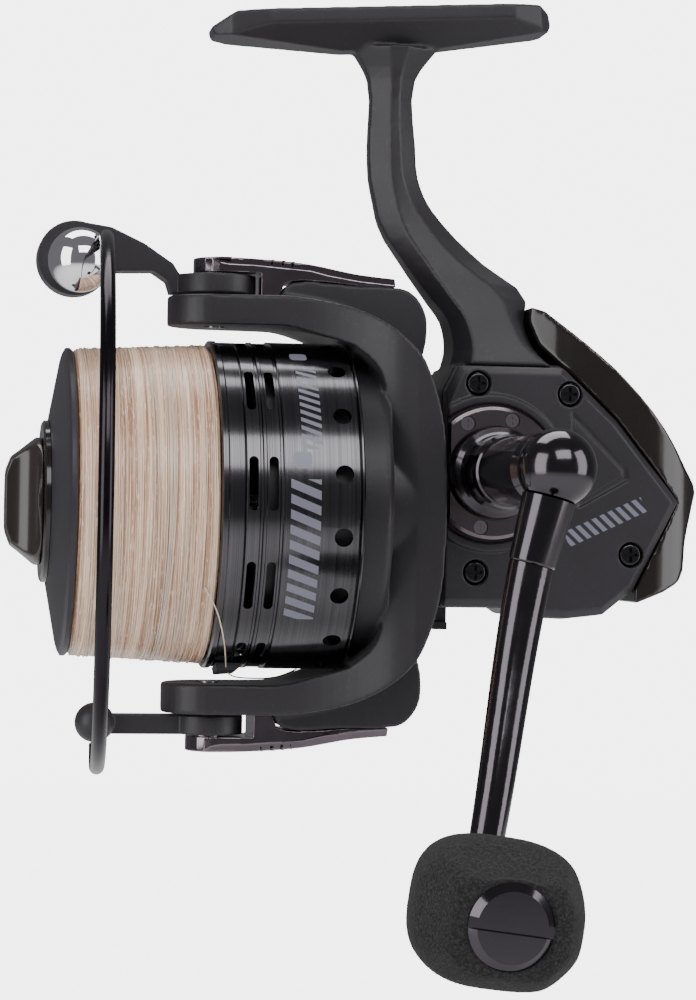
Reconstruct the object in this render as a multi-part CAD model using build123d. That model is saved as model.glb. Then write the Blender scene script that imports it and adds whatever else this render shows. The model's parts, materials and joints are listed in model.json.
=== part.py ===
from build123d import *
import os
from math import atan, cos, degrees, dist, pi, radians, sin, tan

os.makedirs("parts", exist_ok=True)

# A front-drag spinning reel that hangs from its foot. All sizes in millimetres.
# Working axes: the spool turns about X with its front towards -X, Z is up towards the rod
# and the handle is on the -Y side. keep() moves each piece so that the row's origin is the
# centre of the foot's seat.

# ---------------------------------------------------------------- driving dimensions
# foot and body
SEAT_X, SEAT_Z = 5.0, 106.7       # centre of the seat, seen from the spool axis
SEAT_TILT = 3.9                   # the seat climbs towards the rear, degrees
FOOT_LENGTH, FOOT_WIDTH = 74.0, 17.0
FOOT_DEPTH = 8.6                  # seat to keel at the stem
FOOT_EDGE = 3.2                   # height of the foot's upright edge
BODY_NEAR, BODY_FAR = -12.0, 15.2  # the housing's two side faces
COVER_FACE = -17.4                # outer face of the side cover
WALL = 2.6
BODY_FRONT = 17.9                 # flange face behind the rotor
FLANGE_R = 21.0
NOSE_R, NOSE_FRONT = 19.6, 3.0    # round nose that reaches into the rotor
NOSE_BORE_R, NOSE_WALL_REAR = 18.4, 13.6
CAVITY_X = BODY_FRONT + 1.4       # front wall of the gear cavity
CLUTCH_R, CLUTCH_REAR = 15.6, 9.0
BEARING_R = 9.0                   # pinion bearing
GEAR_BOSS_R = 9.0                 # boss round the far end of the handle shaft
AR_SLOT = (BODY_FRONT + 0.8, BODY_FRONT + 4.0, -4.2, 4.2, -24.0, -15.2)  # anti-reverse lever's slot
LEVER_PIN_Z, TRUNNION_R = -17.0, 0.7
PLATE_R, PLATE_BORE_R, PLATE_FACE = 13.9, 9.9, -21.0  # ground ring round the handle
PLATE_SCREW_R, PLATE_SCREW_PCR = 1.45, 11.7
DRIVE_BEARING_R = 8.0

# shafts
SHAFT_R = 2.5                     # main shaft
RUN = 0.07                        # radial running clearance
PINION_R = 4.94
HANDLE_X, HANDLE_Z = 27.3, 7.5    # handle axis, offset above the main shaft
DRIVE_R = 4.0
GEAR_R, GEAR_TEETH = 10.8, 46
PINION_TIP_R, PINION_TEETH = 4.6, 10

# spool
SPOOL_FRONT, LINE_FRONT, LINE_REAR, SKIRT_REAR = -64.4, -59.9, -31.3, -2.1
RIM_R, LINE_FRONT_R, LINE_REAR_R = 32.5, 32.4, 33.9
ARBOR_R, ARBOR_WALL = 26.85, 2.2
SKIRT_R, SKIRT_WALL = 34.8, 1.7
POCKET_R = 14.2                   # drag washer pocket
SLOTS, SLOT_ARC = 10, 18.0        # rounded slots in each of two rows, degrees long
HOLES, HOLE_R = 17, 1.9           # one row of round holes near the skirt's rear edge

# drag knob
KNOB_FLANGE_R, KNOB_R, KNOB_TIP = 17.1, 13.5, -73.3

# rotor and bail
ARM_IN, ARM_OUT = 37.8, 44.2      # inner and outer faces of the rotor arms
ARM_END_R = 10.2                  # the arms' round ends in plan
PIVOT_X = -29.5                   # bail pivots
CUP_R, CUP_WALL = 31.0, 2.5
LEVER_GAP = 0.5                   # between a rotor arm and its bail lever
LEVER_TOP = 48.7
COVER_TOP = 52.3
PIVOT_R = 2.0
WIRE_R = 1.55
RING_R, RING_Y = 55.0, -9.0       # bail ring radius and centre
ROLLER_X, ROLLER_Z = -59.0, 50.1
CAP_R, CAP_Y = 6.8, -11.3         # round cap on the line roller's end

# crank
BALL_Y, BALL_R = -76.0, 7.6
NECK_R, BOSS_R = 7.0, 9.4
CRANK_DX, CRANK_DZ = -17.2, -80.4  # from the handle axis to the grip axis
GRIP_BACK, GRIP_FRONT = -91.5, -118.0
GRIP_HALF_WIDTH, GRIP_HALF_HEIGHT = 15.4, 13.1
GRIP_CAP_R = 7.7
SPINDLE_R = 2.5

GRIP_X, GRIP_Z = HANDLE_X + CRANK_DX, HANDLE_Z + CRANK_DZ
PLATE_SCREWS = [
    (HANDLE_X + PLATE_SCREW_PCR * cos(radians(a)), HANDLE_Z + PLATE_SCREW_PCR * sin(radians(a)))
    for a in (119, 71, 257, 305)
]


# ---------------------------------------------------------------- helpers
def keep(name, solid):
    """Write one node, shifted so that the seat's centre is the origin."""
    export_step(Pos(-SEAT_X, 0, -SEAT_Z) * solid, "parts/" + name + ".step")


def rod_x(r, x0, x1, y=0.0, z=0.0):
    """Cylinder along X."""
    return Pos((x0 + x1) / 2, y, z) * Rot(0, 90, 0) * Cylinder(r, abs(x1 - x0))


def rod_y(r, y0, y1, x=0.0, z=0.0):
    """Cylinder along Y."""
    return Pos(x, (y0 + y1) / 2, z) * Rot(90, 0, 0) * Cylinder(r, abs(y1 - y0))


def rod_z(r, z0, z1, x=0.0, y=0.0):
    """Cylinder along Z."""
    return Pos(x, y, (z0 + z1) / 2) * Cylinder(r, abs(z1 - z0))


def block(x0, x1, y0, y1, z0, z1):
    """Box between two corners."""
    middle = Pos((x0 + x1) / 2, (y0 + y1) / 2, (z0 + z1) / 2)
    return middle * Box(abs(x1 - x0), abs(y1 - y0), abs(z1 - z0))


def side_plate(points, y0, y1):
    """Outline in X and Z, as thick as y0 to y1."""
    outline = Wire.make_polygon([Vector(x, y0, z) for x, z in points], close=True)
    return extrude(Face(outline), amount=y1 - y0, dir=(0, 1, 0))


def plan_plate(points, z0, z1):
    """Outline in X and Y, as high as z0 to z1."""
    outline = Wire.make_polygon([Vector(x, y, z0) for x, y in points], close=True)
    return extrude(Face(outline), amount=z1 - z0, dir=(0, 0, 1))


def turned_x(points):
    """Revolve an outline of (x, radius) about the X axis."""
    outline = Wire.make_polygon([Vector(x, 0, r) for x, r in points], close=True)
    return revolve(Face(outline), axis=Axis.X)


def turned_y(points, x=0.0, z=0.0):
    """Revolve an outline of (y, radius) about a Y axis through x, z."""
    outline = Wire.make_polygon([Vector(0, y, r) for y, r in points], close=True)
    return Pos(x, 0, z) * revolve(Face(outline), axis=Axis.Y)


def ring_x(r_in, r_out, x0, x1):
    """Flat ring or bearing about the X axis."""
    return turned_x([(x0, r_in), (x0, r_out), (x1, r_out), (x1, r_in)])


def around_x(angle):
    """Turn about X: 0 is the -Y side and 90 the top."""
    return Rot(-angle, 0, 0)


def curved(points, steps=4):
    """More points on a smooth curve through the given ones, straight at both ends."""
    spans = [dist(a, b) for a, b in zip(points, points[1:])]
    slopes = [tuple((q - p) / d for p, q in zip(a, b)) for a, b, d in zip(points, points[1:], spans)]
    tangents = [slopes[0]]
    for s0, s1, d0, d1 in zip(slopes, slopes[1:], spans, spans[1:]):
        tangents.append(tuple((v0 * d1 + v1 * d0) / (d0 + d1) for v0, v1 in zip(s0, s1)))
    tangents.append(slopes[-1])
    result = []
    for a, b, ma, mb, d in zip(points, points[1:], tangents, tangents[1:], spans):
        for k in range(steps):
            t = k / steps
            here, there = (1 + 2 * t) * (1 - t)**2, t**2 * (3 - 2 * t)
            leave, arrive = d * t * (1 - t)**2, -d * t**2 * (1 - t)
            values = zip(a, b, ma, mb)
            result.append(tuple(p * here + q * there + m * leave + n * arrive for p, q, m, n in values))
    return result + [points[-1]]


def mirror_z(points):
    """An upper outline followed by its mirror image below."""
    return points + [(x, -z) for x, z in reversed(points)]


def phillips_screw(x, z, y_face, head_r, length):
    """Cross-recess screw along Y: its head's face at y_face, its shank towards +Y."""
    head = rod_y(head_r, y_face, y_face + 0.8 * head_r, x, z)
    head = fillet(head.edges().sort_by(Axis.Y)[0], 0.25 * head_r)
    shank = rod_y(0.5 * head_r, y_face + 0.8 * head_r, y_face + length, x, z)
    arm = 0.62 * head_r
    half_slot, bottom = 0.14 * head_r, y_face + 0.45 * head_r
    cross = block(x - arm, x + arm, y_face - 1, bottom, z - half_slot, z + half_slot)
    cross += block(x - half_slot, x + half_slot, y_face - 1, bottom, z - arm, z + arm)
    return head + shank - cross


# ---------------------------------------------------------------- housing, stem and foot
# the housing's side outline; the rear trim follows the same rear edge
REAR_EDGE = [(59.5, -16.6), (69.1, 2.3), (55.2, 19.4), (43.4, 31.0)]
BOTTOM_EDGE = [(BODY_FRONT, -21.0), (32.3, -21.0), (35.0, -22.8), (44.7, -23.2), (52.5, -22.3)]
COVER_TOP_Z = 30.5
SHOULDER_X, SHOULDER_Z = 20.6, 25.0   # where the front edge leaves the flange
FRONT_EDGE = [(SHOULDER_X, COVER_TOP_Z), (BODY_FRONT, SHOULDER_Z)]
COVER_SCREWS = [(24.6, 26.4), (44.4, 24.6), (24.6, -13.4), (58.2, -9.2)]
COVER_SCREW_R = 2.4
POST_R = 3.1
SCREW_SINK = 0.5

# stem sections from the foot down: height, front, rear and half width, and the near ridge
STEM = [
    (98.8, -1.0, 17.5, 6.6, 6.5, 10.5),
    (92.0, 2.7, 12.8, 4.6, 7.3, 9.1),
    (78.0, 2.9, 13.1, 4.5, 7.4, 9.2),
    (71.0, 3.2, 13.8, 4.6, 7.8, 9.8),
    (66.0, 4.2, 15.8, 4.9, 8.6, 11.5),
    (60.7, 5.6, 19.9, 5.6, 10.0, 15.0),
    (53.0, 10.6, 28.1, 7.6, 14.5, 22.0),
    (45.0, 16.7, 37.6, 10.4, 19.5, 31.0),
    (40.4, 20.2, 36.9, 12.0, 22.5, 32.5),
    (35.3, 21.4, 38.8, 13.8, 23.8, 35.0),
    (COVER_TOP_Z, SHOULDER_X, 43.4, BODY_FAR, 23.4, 40.5),
]


def stem_section(z, front, rear, half, ridge_front, ridge_rear):
    """Eight-sided section: a flat ridge on each side, bevelled to the front and rear edges."""
    edge = 0.38 * half
    right = [(front, -edge), (ridge_front, -half), (ridge_rear, -half), (rear, -edge)]
    left = [(x, -y) for x, y in reversed(right)]
    return Face(Wire.make_polygon([Vector(x, y, z) for x, y in right + left], close=True))


def foot():
    """Foot with a flat seat, upright edges and an underside bevelled to a keel."""
    half, width = FOOT_LENGTH / 2, FOOT_WIDTH / 2
    side = [
        (-half, -2.8), (5.4 - half, 0), (half - 3.0, 0), (half - 0.6, -1.6), (half, -4.2), (half - 0.9, -5.8),
        (12.0, -FOOT_DEPTH), (-9.0, -FOOT_DEPTH), (0.5 - half, -4.7),
    ]
    blank = side_plate(side, -width, width)
    nose = [
        (-half, -3.4), (4.0 - half, -6.6), (12.0 - half, -width), (half - 9.0, -width),
        (half - 2.6, -6.3), (half, -3.2),
    ]
    blank &= plan_plate(nose + [(x, -y) for x, y in reversed(nose)], -FOOT_DEPTH - 1, 1)
    keel = [
        (-width, 0), (width, 0), (width, -FOOT_EDGE), (2.6, -FOOT_DEPTH), (-2.6, -FOOT_DEPTH), (-width, -FOOT_EDGE),
    ]
    outline = Wire.make_polygon([Vector(-half, y, z) for y, z in keel], close=True)
    blank &= extrude(Face(outline), amount=FOOT_LENGTH, dir=(1, 0, 0))
    return Pos(SEAT_X, 0, SEAT_Z) * Rot(0, -SEAT_TILT, 0) * blank


def body_frame():
    """One casting: foot, stem, gear housing open to the near side, and the round nose."""
    shell = loft([stem_section(*row) for row in reversed(curved(STEM, 3))], ruled=True)
    box = side_plate(BOTTOM_EDGE + REAR_EDGE + FRONT_EDGE, BODY_NEAR, BODY_FAR)
    far_edges = box.edges().filter_by(lambda e: e.center().Y > BODY_FAR - 0.01)
    far_edges = far_edges.filter_by(lambda e: e.center().Z < COVER_TOP_Z - 1)
    box = chamfer(far_edges.filter_by(lambda e: e.center().X > BODY_FRONT + 1), 3.4)
    shell += box + foot()
    shell += rod_x(FLANGE_R, BODY_FRONT, CAVITY_X) & block(0, 40, BODY_NEAR, BODY_FAR, -40, 40)
    shell += rod_x(NOSE_R, NOSE_FRONT, BODY_FRONT - 0.1)
    shell += rod_x(NOSE_R, BODY_FRONT - 1, CAVITY_X) & block(0, 40, BODY_NEAR, BODY_FAR, -40, 40)
    boss = rod_y(GEAR_BOSS_R, BODY_FAR, BODY_FAR + 2.4, HANDLE_X, HANDLE_Z)
    shell += boss & block(BODY_FRONT + 0.3, 60, 0, 40, -20, 40)
    # gear cavity, nose bores and bearing seats
    cavity = [(CAVITY_X, -18.2), (51.5, -19.2), (57.3, -15.0), (65.0, 2.4), (53.5, 16.4), (44, 26), (CAVITY_X, 26)]
    cavity = side_plate(cavity, BODY_NEAR - 4, BODY_FAR - WALL)
    for x, z in COVER_SCREWS:
        cavity -= rod_y(POST_R, BODY_NEAR - 5, BODY_FAR, x, z)
    shell -= cavity
    shell -= rod_x(CLUTCH_R, NOSE_FRONT, CLUTCH_REAR)
    shell -= rod_x(BEARING_R, CLUTCH_REAR - 1, BODY_FRONT + 6)
    shell -= rod_x(NOSE_BORE_R, NOSE_WALL_REAR, BODY_FRONT + 6)
    shell -= rod_y(DRIVE_R + 3.0, BODY_FAR - WALL - 1, BODY_FAR + 1.4, HANDLE_X, HANDLE_Z)
    shell -= block(*AR_SLOT)
    shell -= rod_x(TRUNNION_R + RUN, BODY_FRONT - 2, AR_SLOT[1] + 2, 0, LEVER_PIN_Z)
    for x, z in COVER_SCREWS:
        shell -= rod_y(COVER_SCREW_R * 0.5, BODY_NEAR - 1, BODY_NEAR + 9, x, z)
    return shell


def cover_outline(inset):
    """The side cover's outline, a little inside the housing's own edge."""
    bottom = [(x, z + inset) for x, z in BOTTOM_EDGE]
    rear = [(x - inset, min(z, COVER_TOP_Z - inset)) for x, z in REAR_EDGE]
    return bottom + rear + [(x, z - inset) for x, z in FRONT_EDGE]


def side_cover():
    """Near cover with deep screw wells, a raised panel and the seat of the bearing plate."""
    cover = side_plate(cover_outline(0.3), COVER_FACE, BODY_NEAR)
    rim = cover.edges().filter_by(lambda e: e.center().Y < COVER_FACE + 0.01)
    cover = chamfer(rim.filter_by(lambda e: e.center().X > BODY_FRONT + 1), 1.6)
    collar = rod_y(PLATE_R + 2.6, COVER_FACE - 1.2, COVER_FACE, HANDLE_X, HANDLE_Z)
    collar -= rod_y(PLATE_R + 0.9, COVER_FACE - 2, COVER_FACE, HANDLE_X, HANDLE_Z)
    cover += collar & block(BODY_FRONT, 60, -30, 0, -20, 40)
    inside = [(CAVITY_X, -15), (50, -16), (61, 2), (49, 17), (CAVITY_X, 18)]
    inside = side_plate(inside, COVER_FACE + WALL, BODY_NEAR + 1)
    for x, z in COVER_SCREWS:
        inside -= rod_y(4.4, COVER_FACE, BODY_NEAR + 2, x, z)
    cover -= inside - rod_y(DRIVE_BEARING_R + 2, COVER_FACE, BODY_NEAR - 1.4, HANDLE_X, HANDLE_Z)
    cover -= rod_y(DRIVE_BEARING_R, COVER_FACE - 3, BODY_NEAR + 1, HANDLE_X, HANDLE_Z)
    for x, z in COVER_SCREWS:
        well_floor = COVER_FACE + SCREW_SINK + 0.8 * COVER_SCREW_R
        cover -= rod_y(COVER_SCREW_R + 0.35, COVER_FACE - 3, well_floor, x, z)
        cover -= rod_y(COVER_SCREW_R * 0.5, COVER_FACE, BODY_NEAR + 1, x, z)
    panel = [(44.6, 21.4), (57.2, 9.2), (57.4, 6.6), (46.4, 0.4)]
    groove = side_plate(panel, COVER_FACE - 1, COVER_FACE + 0.5)
    groove -= side_plate([(45.6, 18.9), (55.9, 8.6), (56.0, 7.4), (47.2, 2.2)], COVER_FACE - 2, COVER_FACE + 1)
    return cover - groove


def rear_trim():
    """Glossy rear shell: a narrow strip above and a broad corner below, on the housing's rear edge."""
    outer = [
        (59.5, -19.6), (65.9, -17.1), (69.9, -14.6), (71.3, -6.1), (73.2, 2.0), (73.8, 4.6), (71.1, 9.6),
        (65.7, 18.0), (57.5, 27.4), (48.6, 35.6), (40.4, 42.6),
    ]
    inner = [(37.5, 43.6), (37.15, 40.4), (39.05, 35.3), (43.6, 30.9), (55.2, 19.4), (69.1, 2.3), (59.5, -16.6)]
    near, far = COVER_FACE + 0.9, BODY_FAR - 1.0
    trim = side_plate(outer[:1] + curved(outer[1:], 3) + inner, near, far)
    half_plan = [(36, 0), (36, 0.45), (46, 0.80), (54, 1.0), (62, 1.0), (68, 0.90), (72, 0.76), (76, 0.58)]
    middle, half = (near + far) / 2, (far - near) / 2
    right = curved(half_plan[1:], 3)
    plan = [(x, middle - half * share) for x, share in right]
    plan += [(x, middle + half * share) for x, share in reversed(right)]
    return trim & plan_plate(plan, -30, 50)


def bearing_plate():
    """Ground metal ring round the handle's flange, with countersunk screw holes."""
    plate = turned_y(
        [(PLATE_FACE, PLATE_BORE_R), (PLATE_FACE, PLATE_R - 0.7), (PLATE_FACE + 0.7, PLATE_R), (COVER_FACE, PLATE_R),
         (COVER_FACE, DRIVE_R + 1.2), (COVER_FACE - 1.5, DRIVE_R + 1.2), (COVER_FACE - 1.5, PLATE_BORE_R)],
        HANDLE_X, HANDLE_Z,
    )
    for x, z in PLATE_SCREWS:
        plate -= rod_y(PLATE_SCREW_R + 0.15, PLATE_FACE - 1, PLATE_FACE + 1.6, x, z)
    return plate & block(BODY_FRONT + 0.2, 60, -30, 0, -20, 40)


keep("body_frame", body_frame())
keep("side_cover", side_cover())
keep("rear_trim", rear_trim())
keep("bearing_plate", bearing_plate())
for number, (x, z) in enumerate(COVER_SCREWS, 1):
    keep(f"cover_screw_{number}", phillips_screw(x, z, COVER_FACE + SCREW_SINK, COVER_SCREW_R, 9.0))
for number, (x, z) in enumerate(PLATE_SCREWS, 1):
    head = rod_y(PLATE_SCREW_R, PLATE_FACE + 0.3, PLATE_FACE + 1.6, x, z)
    arm = 0.6 * PLATE_SCREW_R
    head -= block(x - arm, x + arm, PLATE_FACE - 1, PLATE_FACE + 0.9, z - 0.2, z + 0.2)
    head -= block(x - 0.2, x + 0.2, PLATE_FACE - 1, PLATE_FACE + 0.9, z - arm, z + arm)
    keep(f"plate_screw_{number}", head)

cap = turned_y([(BODY_FAR + 2.4, 0), (BODY_FAR + 2.4, GEAR_BOSS_R), (BODY_FAR + 3.6, GEAR_BOSS_R),
                (BODY_FAR + 5.0, GEAR_BOSS_R - 2.0), (BODY_FAR + 5.4, 0)], HANDLE_X, HANDLE_Z)
keep("far_side_cap", cap & block(BODY_FRONT + 0.3, 60, 0, 40, -20, 40))

# ---------------------------------------------------------------- bearings and clutch in the body
keep("pinion_bearing", ring_x(PINION_R + RUN, BEARING_R, CLUTCH_REAR, NOSE_WALL_REAR))
keep("clutch_outer", ring_x(BEARING_R + 0.4, CLUTCH_R, NOSE_FRONT + 0.3, CLUTCH_REAR))
near_bearing = rod_y(DRIVE_BEARING_R, COVER_FACE, BODY_NEAR, HANDLE_X, HANDLE_Z)
keep("drive_bearing_near", near_bearing - rod_y(DRIVE_R + RUN, COVER_FACE - 1, 0, HANDLE_X, HANDLE_Z))
far_bearing = rod_y(DRIVE_R + 3.0, BODY_FAR - WALL, BODY_FAR + 1.4, HANDLE_X, HANDLE_Z)
keep("drive_bearing_far", far_bearing - rod_y(DRIVE_R + RUN, 0, BODY_FAR + 3, HANDLE_X, HANDLE_Z))

# anti-reverse lever: hangs from a pin under the flange and swings across its slot
ar_x0, ar_x1 = AR_SLOT[0] + 0.3, AR_SLOT[1] - 0.3
lever = block(ar_x0, ar_x1, -1.5, 1.5, -25.4, LEVER_PIN_Z) + rod_x(1.5, ar_x0, ar_x1, 0, LEVER_PIN_Z)
lever += block(ar_x0 - 0.2, ar_x1, -2.6, 2.6, -26.0, -24.4)
lever += rod_x(TRUNNION_R, BODY_FRONT - 0.4, ar_x1 + 1.2, 0, LEVER_PIN_Z)
keep("anti_reverse_lever", lever)

# ---------------------------------------------------------------- crank
GEAR_FACE = -(PINION_TIP_R + 0.15)
GEAR_BACK = GEAR_FACE - 2.3
TOOTH = 0.9


def drive_gear():
    """Face gear on the handle shaft, its teeth towards the pinion."""
    gear = rod_y(GEAR_R, GEAR_BACK, GEAR_FACE - TOOTH, HANDLE_X, HANDLE_Z)
    rim = rod_y(GEAR_R, GEAR_FACE - TOOTH, GEAR_FACE, HANDLE_X, HANDLE_Z)
    rim -= rod_y(GEAR_R - 2.4, GEAR_FACE - 2, GEAR_FACE + 1, HANDLE_X, HANDLE_Z)
    gaps = []
    for k in range(GEAR_TEETH):
        gap = Pos(GEAR_R - 1.2, 0, 0) * Box(3.6, 2.0, 0.5 * 2 * pi * GEAR_R / GEAR_TEETH)
        gaps.append(Pos(HANDLE_X, GEAR_FACE, HANDLE_Z) * Rot(0, k * 360 / GEAR_TEETH, 0) * gap)
    rim -= gaps
    gear += rim
    gear -= rod_y(DRIVE_R, GEAR_BACK - 1, GEAR_FACE + 1, HANDLE_X, HANDLE_Z)
    return gear


keep("drive_gear", drive_gear())
keep("drive_shaft", rod_y(DRIVE_R, PLATE_FACE - 0.4, BODY_FAR + 1.2, HANDLE_X, HANDLE_Z))

FLANGE_Y, STEP_Y = -26.0, -36.5
boss = turned_y(
    [(PLATE_FACE - 0.4, 0), (PLATE_FACE - 0.4, BOSS_R), (FLANGE_Y, BOSS_R), (FLANGE_Y - 1.0, BOSS_R - 1.0),
     (FLANGE_Y - 1.6, NECK_R + 0.9), (STEP_Y + 1.0, NECK_R + 0.7), (STEP_Y, NECK_R + 0.2),
     (STEP_Y - 0.6, NECK_R - 0.5), (STEP_Y - 1.4, NECK_R), (BALL_Y + 9.5, NECK_R), (BALL_Y + 6.0, NECK_R - 1.6),
     (BALL_Y + 6.0, 0)],
    HANDLE_X, HANDLE_Z,
)
keep("handle_neck", boss)

lean = degrees(atan(4.5 / 17.6))
ball = Pos(HANDLE_X, BALL_Y, HANDLE_Z)
to_arm = ball * Rot(0, lean, 0)
hub = ball * Sphere(BALL_R) - rod_y(NECK_R + 3, BALL_Y + 6.0, BALL_Y + 12, HANDLE_X, HANDLE_Z)
SLEEVE_TOP, SLEEVE_END = 6.0, 19.0
keep("ball_hub", hub - to_arm * Pos(0, 0, -SLEEVE_TOP - 3) * Cylinder(20, 6))
sleeve = to_arm * Pos(0, 0, -(SLEEVE_TOP + SLEEVE_END) / 2) * Cone(4.5, 5.2, SLEEVE_END - SLEEVE_TOP)
keep("arm_sleeve", fillet(sleeve.edges().sort_by(Axis.Z)[0], 0.6))


def crank_arm():
    """Round tapering arm, bowed outwards, through circles square to its path."""
    leave = Vector(-sin(radians(lean)), 0, -cos(radians(lean)))
    start = Vector(HANDLE_X, BALL_Y, HANDLE_Z) + leave * SLEEVE_END
    end = Vector(GRIP_X + 0.6, GRIP_BACK + 5.0, GRIP_Z + 1.5)
    stations = []
    for k in range(7):
        t = k / 6
        bow = 0.5 - 0.5 * cos(pi * t)
        centre = Vector(start.X + (end.X - start.X) * t, start.Y + (end.Y - start.Y) * bow,
                        start.Z + (end.Z - start.Z) * t)
        stations.append((centre, 4.3 - 1.2 * t))
    faces = []
    for k, (centre, radius) in enumerate(stations):
        before = stations[max(k - 1, 0)][0]
        after = stations[min(k + 1, 6)][0]
        direction = leave if k == 0 else after - before
        faces.append(Plane(origin=centre, z_dir=direction) * Circle(radius))
    return loft([face.face() for face in faces])


ARM_EYE_R = 5.2
eye = rod_y(ARM_EYE_R, GRIP_BACK + 0.6, GRIP_BACK + 9.0, GRIP_X, GRIP_Z)
eye = chamfer(eye.edges(), 0.8)
keep("crank_arm", crank_arm() + eye - rod_y(SPINDLE_R, GRIP_BACK, GRIP_BACK + 7, GRIP_X, GRIP_Z))
keep("grip_spindle", rod_y(SPINDLE_R, GRIP_FRONT + 2.2, GRIP_BACK + 7.0, GRIP_X, GRIP_Z))

# ---------------------------------------------------------------- grip
BUSH_R = 4.6
GRIP_TILT = 8.0                   # the grip has come to rest a little turned, degrees
GRIP_SECTIONS = [                 # share of the length, share of the size, rise of the centre
    (0.0, 0.62, 1.1), (0.08, 0.82, 1.2), (0.24, 0.965, 1.2), (0.5, 1.0, 0.9), (0.72, 0.975, 0.5),
    (0.88, 0.89, 0.2), (1.0, 0.72, 0.0),
]


def grip():
    """Foam grip: rounded oblongs along the spindle, bored for its bush and recessed for the cap."""
    length = GRIP_FRONT - GRIP_BACK
    across = (cos(radians(GRIP_TILT)), 0, -sin(radians(GRIP_TILT)))
    sections = []
    for t, share, rise in GRIP_SECTIONS:
        place = Plane(origin=(GRIP_X, GRIP_BACK + t * length, GRIP_Z + rise), x_dir=across, z_dir=(0, -1, 0))
        width, height = 2 * GRIP_HALF_WIDTH * share, 2 * GRIP_HALF_HEIGHT * share
        sections.append((place * RectangleRounded(width, height, 0.36 * height)).face())
    body = loft(sections)
    body -= rod_y(BUSH_R, GRIP_BACK + 2, GRIP_FRONT - 2, GRIP_X, GRIP_Z)
    return body - rod_y(GRIP_CAP_R - 0.4, GRIP_FRONT + 2.2, GRIP_FRONT - 4, GRIP_X, GRIP_Z)


keep("grip", grip())
bush = rod_y(BUSH_R, GRIP_FRONT + 2.2, GRIP_BACK, GRIP_X, GRIP_Z)
keep("grip_bush", bush - rod_y(SPINDLE_R + RUN, GRIP_FRONT, GRIP_BACK + 2, GRIP_X, GRIP_Z))
CAP_FACE = GRIP_FRONT - 1.5
CAP_SLOT_DEPTH = 1.2
grip_cap = turned_y(
    [(CAP_FACE, 0), (CAP_FACE, GRIP_CAP_R - 1.4), (CAP_FACE + 1.2, GRIP_CAP_R), (GRIP_FRONT, GRIP_CAP_R),
     (GRIP_FRONT, GRIP_CAP_R - 0.5), (GRIP_FRONT + 2.0, GRIP_CAP_R - 0.5), (GRIP_FRONT + 2.0, 0)],
    GRIP_X, GRIP_Z,
)
slot = Pos(GRIP_X, CAP_FACE, GRIP_Z) * Rot(0, GRIP_TILT, 0) * Box(2 * GRIP_CAP_R + 2, 2 * CAP_SLOT_DEPTH, 2.1)
keep("grip_cap", grip_cap - slot)

# ---------------------------------------------------------------- rotor
RECESS_R, RECESS_FRONT = 20.2, 2.2
WEB_FRONT = -1.6
CUP_FRONT = -23.5
SWEEP_R = 37.4                    # the arms stay outside the skirt, the clip and the loose line
REAR_X = 17.1
WEB_REAR = 4.8
SHELL_R = 23.2                    # round shell over the body's nose

YOKE_OUTER = [(-41, ARM_OUT)] + curved([
    (-20, ARM_OUT), (-16, ARM_OUT), (-8, ARM_OUT - 1.1), (0, 40.8), (6, 37.2), (11.2, 32.0),
    (14.2, 25.5), (16.3, 17.0), (REAR_X, 6.0),
])
YOKE_INNER = [(-41, ARM_IN)] + curved([
    (-20, ARM_IN), (-16, ARM_IN - 0.1), (-8, 35.6), (-1.5, 33.2), (2.8, 28.8), (4.4, 22.0), (WEB_REAR, 6.0),
])
SPINE = [(-17.0, ARM_OUT - 2)] + curved([(-16.2, 44.6), (-15.2, 46.4), (-11.5, 47.5), (-6.0, 47.3)]) + curved([
    (0.5, 46.9), (7.0, 46.9), (11.2, 46.2), (13.6, 44.0), (15.0, 41.0), (15.2, 36.4), (13.8, 30.0),
]) + [(10, 28), (-8, 38)]
SPINE_HALF = 7.6
HUB_BORE_R = PINION_R
ARM_SCREW_X, ARM_SCREW_R = 5.6, 1.5   # small screw at each arm cover's rear end


def half_plan(step):
    """Half of the rotor's plan: rounded arm ends that widen to the rear."""
    arc = [
        (PIVOT_X - ARM_END_R * cos(radians(a)), ARM_END_R * sin(radians(a)))
        for a in range(0, 91, step)
    ]
    flare = [(PIVOT_X, ARM_END_R), (-20, ARM_END_R + 0.9), (-10, 13.2), (0, 17.6), (6, 21.4), (11, SHELL_R)]
    return arc[:-1] + curved(flare) + [(REAR_X + 1, SHELL_R)]


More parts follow.
